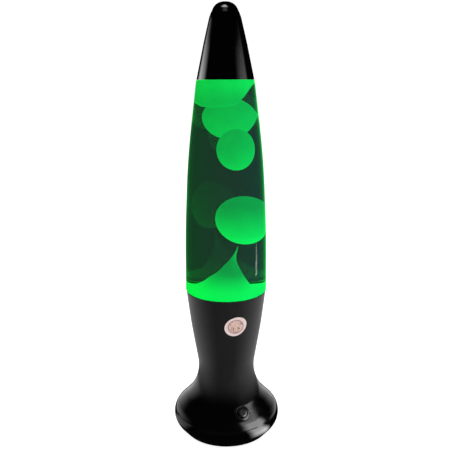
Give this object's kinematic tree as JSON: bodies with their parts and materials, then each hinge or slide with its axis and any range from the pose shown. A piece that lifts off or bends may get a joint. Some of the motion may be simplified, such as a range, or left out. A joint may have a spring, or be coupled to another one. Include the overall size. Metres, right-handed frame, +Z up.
{
  "type": "lava lamp",
  "caption": "Wax motion lamp: tapered sealed glass globe of dark liquid and green wax on a black hourglass base with a reflector bulb, push switch and lift-off nose cap.",
  "frame": {"origin": "centre of the surface that the lamp stands on, on the axis of the lamp", "axes": "+Z up along the lamp's axis, -Y to the front, the side with the push switch, which sits 20 degrees round towards +X"},
  "size_m": [0.1034, 0.1034, 0.407],
  "materials": {
    "black_enamel": "gloss",
    "cap_enamel": "gloss",
    "zinc_steel": "satin",
    "nickel": "polished",
    "brass": "satin",
    "black_rubber": "matte",
    "switch_plastic": "gloss",
    "holder_plastic": "satin",
    "terminal_plastic": "satin",
    "lead_insulation": "satin",
    "label_paper": "satin",
    "bulb_glass": "frosted",
    "clear_glass": "polished",
    "tungsten": "satin",
    "green_wax": "satin",
    "dark_liquid": "polished",
    "tinplate": "satin",
    "liner_plastic": "satin"
  },
  "bodies": {
    "base": {"base_shell": "black_enamel", "base_plate": "zinc_steel", "plate_screws": "zinc_steel", "lamp_bracket": "zinc_steel", "bracket_screws": "zinc_steel", "bracket_nuts": "zinc_steel", "cord_grommet": "black_rubber", "label_sticker": "label_paper", "switch_bezel": "switch_plastic", "switch_nut": "holder_plastic", "switch_body": "holder_plastic", "switch_terminals": "brass", "switch_spring": "zinc_steel", "socket_housing": "holder_plastic", "socket_sleeve": "brass", "socket_terminals": "brass", "socket_contact": "brass", "socket_nipple": "zinc_steel", "nipple_nut": "zinc_steel", "terminal_block": "terminal_plastic", "terminal_screws": "zinc_steel", "rubber_foot_1": "black_rubber", "rubber_foot_2": "black_rubber", "rubber_foot_3": "black_rubber", "lead_live": "lead_insulation", "lead_switched": "lead_insulation", "lead_neutral": "lead_insulation"},
    "bulb_tip": {"bulb_contact": "brass"},
    "bulb": {"bulb_insulator": "clear_glass", "bulb_cap": "nickel", "bulb_glass": "bulb_glass", "bulb_stem": "clear_glass", "filament_supports": "zinc_steel", "filament": "tungsten"},
    "button": {"switch_button": "switch_plastic"},
    "globe": {"globe_glass": "clear_glass", "crown_cap": "tinplate", "crown_liner": "liner_plastic", "wax_coil": "zinc_steel", "wax_pool": "green_wax", "wax_top": "green_wax", "wax_upper_blob": "green_wax", "globe_liquid": "dark_liquid"},
    "small_blob": {"wax_small_blob": "green_wax"},
    "large_blob": {"wax_large_blob": "green_wax"},
    "cap": {"top_cap": "cap_enamel"}
  },
  "joints": [
    {"name": "bulb_rise", "type": "slide", "parent": "base", "child": "bulb_tip", "axis": [0, 0, 1], "range_m": [0, 0.0085]},
    {"name": "bulb_turn", "type": "hinge", "parent": "bulb_tip", "child": "bulb", "pos_m": [0, 0, 0.026], "axis": [0, 0, 1], "range_deg": [0, 1080]},
    {"name": "switch_press", "type": "slide", "parent": "base", "child": "button", "axis": [-0.2456, 0.6748, -0.6959], "range_m": [0, 0.002], "stiffness_N_per_m": 300, "springref_m": -0.004, "deforming": ["switch_spring"]},
    {"name": "globe_lift", "type": "slide", "parent": "base", "child": "globe", "axis": [0, 0, 1], "range_m": [0, 0.06]},
    {"name": "cap_lift", "type": "slide", "parent": "globe", "child": "cap", "axis": [0, 0, 1], "range_m": [0, 0.05]},
    {"name": "small_blob_drift", "type": "slide", "parent": "globe", "child": "small_blob", "axis": [0, 0, 1], "range_m": [-0.01, 0], "deforming": ["globe_liquid"]},
    {"name": "large_blob_drift", "type": "slide", "parent": "globe", "child": "large_blob", "axis": [0, 0, 1], "range_m": [0, 0.01], "deforming": ["globe_liquid"]}
  ],
  "couplings": [
    {"joint": "bulb_rise", "follows": "bulb_turn", "m_per_rad": 0.00044882}
  ]
}
